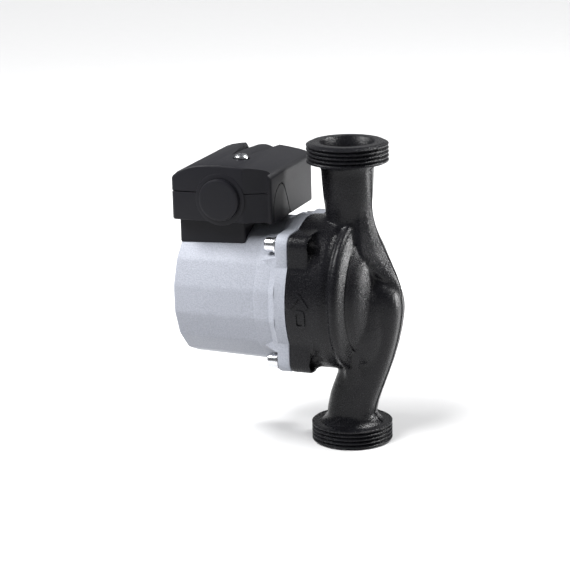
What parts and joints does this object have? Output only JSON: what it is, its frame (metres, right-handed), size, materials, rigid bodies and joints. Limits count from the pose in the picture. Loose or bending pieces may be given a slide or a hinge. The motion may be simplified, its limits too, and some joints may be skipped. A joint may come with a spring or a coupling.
{
  "type": "circulator pump",
  "caption": "Wet-rotor heating circulator with in-line threaded union ports, cast volute casing, faceted motor housing and terminal box.",
  "frame": {"origin": "centre of the lower (inlet) port's sealing face", "axes": "+Z along the pipe axis, from inlet to outlet; the motor lies along -X at z 0.090 m"},
  "size_m": [0.1349, 0.0962, 0.18],
  "materials": {
    "black_iron": "painted satin",
    "cast_aluminium": "fine cast",
    "black_plastic": "moulded matte",
    "grey_plastic": "moulded",
    "black_rubber": "matte",
    "steel": "bright plated",
    "stainless": "drawn",
    "brass": "turned",
    "copper": "enamelled wire",
    "ceramic": "ground",
    "laminated_steel": "stacked sheet"
  },
  "bodies": {
    "pump_body": {"volute_casing": "black_iron", "wear_ring": "stainless", "casing_gasket": "black_rubber", "bearing_plate": "stainless", "front_bearing": "ceramic", "separating_can": "stainless", "can_seal_ring": "black_rubber", "rear_bearing": "ceramic", "rear_bearing_plate": "stainless", "stator_core": "laminated_steel", "stator_winding_front": "copper", "stator_winding_rear": "copper", "motor_housing": "cast_aluminium", "motor_screw_1": "steel", "motor_screw_2": "steel", "motor_screw_3": "steel", "motor_screw_4": "steel", "vent_plug": "brass", "vent_plug_seal": "black_rubber", "rating_plate": "stainless", "terminal_box_base": "black_plastic", "terminal_box_cover": "black_plastic", "cover_screw": "steel", "cable_blanking_plug": "black_plastic", "gland_body": "black_plastic", "gland_nut": "black_plastic", "gland_seal": "black_rubber", "knock_out": "black_plastic", "terminal_block": "grey_plastic", "terminal_screw_1": "brass", "terminal_screw_2": "brass", "terminal_screw_3": "brass", "run_capacitor": "grey_plastic", "earth_screw": "brass", "box_screw_1": "steel", "box_screw_2": "steel", "lead_grommet": "black_rubber", "speed_switch_body": "grey_plastic"},
    "rotor": {"impeller": "grey_plastic", "shaft": "ceramic", "thrust_disc": "black_rubber", "rotor_core": "stainless"},
    "knob": {"speed_knob": "grey_plastic"}
  },
  "joints": [
    {"name": "rotor_spin", "type": "hinge", "parent": "pump_body", "child": "rotor", "pos_m": [-0.03, 0, 0.09], "axis": [1, 0, 0], "continuous": true},
    {"name": "speed_select", "type": "hinge", "parent": "pump_body", "child": "knob", "pos_m": [-0.0966, 0, 0.145], "axis": [1, 0, 0], "range_deg": [-45, 45]}
  ]
}
